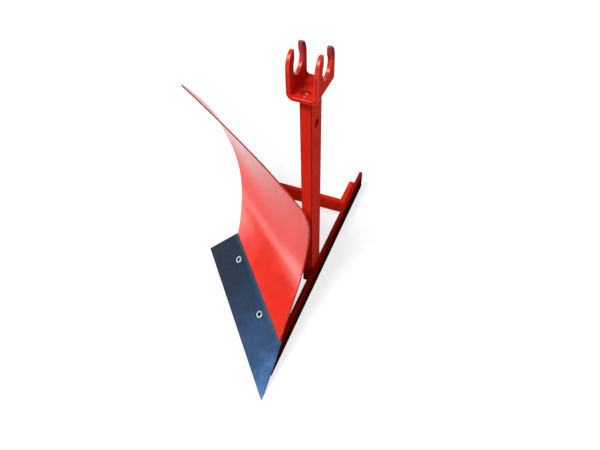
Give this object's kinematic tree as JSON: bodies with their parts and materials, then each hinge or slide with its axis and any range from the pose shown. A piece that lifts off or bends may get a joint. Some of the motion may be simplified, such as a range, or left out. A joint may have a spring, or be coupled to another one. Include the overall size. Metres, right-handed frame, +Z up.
{
  "type": "moldboard plough",
  "caption": "Small one-furrow moldboard plough: share, twisted moldboard and landside on an upright post with an open hook fork on top.",
  "frame": {"origin": "centre of the plough's footprint box, on the ground the share's edge and the landside stand on", "axes": "+Z up the post, -Y the direction of travel with the share's point in front, +X the land side"},
  "size_m": [0.3752, 0.53, 0.4753],
  "materials": {
    "red_enamel": "glossy red enamel sprayed on welded steel",
    "share_steel": "dark blued hardened steel, satin",
    "zinc_bolt": "bright zinc plate on countersunk socket bolts"
  },
  "bodies": {
    "root": {"share": "share_steel", "moldboard": "red_enamel", "landside": "red_enamel", "post": "red_enamel", "hitch_fork": "red_enamel", "share_seat": "red_enamel", "frog_rib": "red_enamel", "post_pad": "red_enamel", "cross_brace": "red_enamel"}
  },
  "joints": []
}
